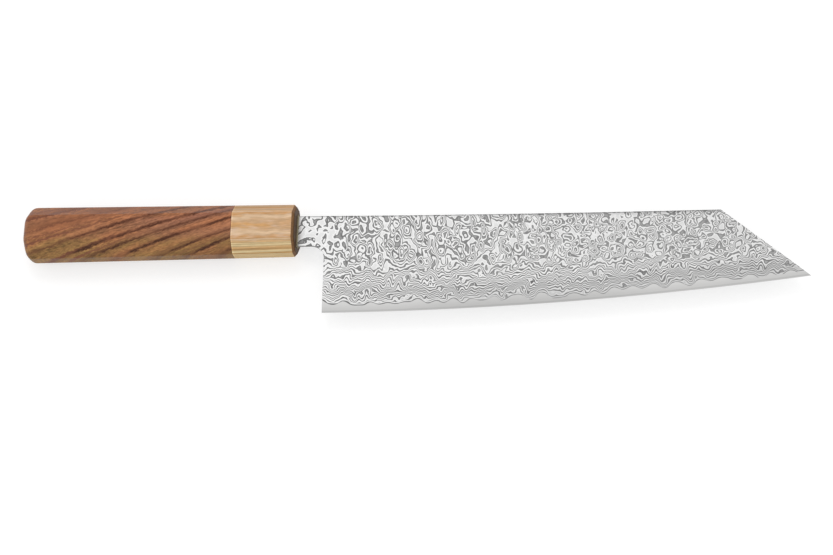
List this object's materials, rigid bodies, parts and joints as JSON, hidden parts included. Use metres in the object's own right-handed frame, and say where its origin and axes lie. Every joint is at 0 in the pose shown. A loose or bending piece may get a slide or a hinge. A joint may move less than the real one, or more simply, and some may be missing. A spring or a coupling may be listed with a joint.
{
  "type": "kiritsuke knife",
  "caption": "Japanese kitchen knife with a tall layered-steel blade cut straight to its point, on a hidden tang in an octagonal wooden handle.",
  "frame": {"origin": "under the middle of the whole knife's box, on the surface that its handle lies on", "axes": "+X from the butt to the point, +Y from the edge to the spine, +Z through the blade's thickness, up when the knife lies on its side"},
  "size_m": [0.3954, 0.0574, 0.0214],
  "materials": {
    "core_steel": "fine satin, ground lengthwise",
    "layered_steel": "etched layers, bright rings and waves on grey",
    "striped_wood": "oiled reddish brown with dark slanting stripes",
    "pale_wood": "oiled pale straw with fine lengthwise grain",
    "dowel_wood": "plain turned hardwood",
    "bedding_resin": "set adhesive",
    "seal_wax": "dark waxy seal"
  },
  "bodies": {
    "root": {"core_steel": "core_steel", "cladding_right": "layered_steel", "cladding_left": "layered_steel", "handle_body": "striped_wood", "ferrule": "pale_wood", "joint_dowel": "dowel_wood", "tang_bedding": "bedding_resin", "slot_seal": "seal_wax"}
  },
  "joints": []
}
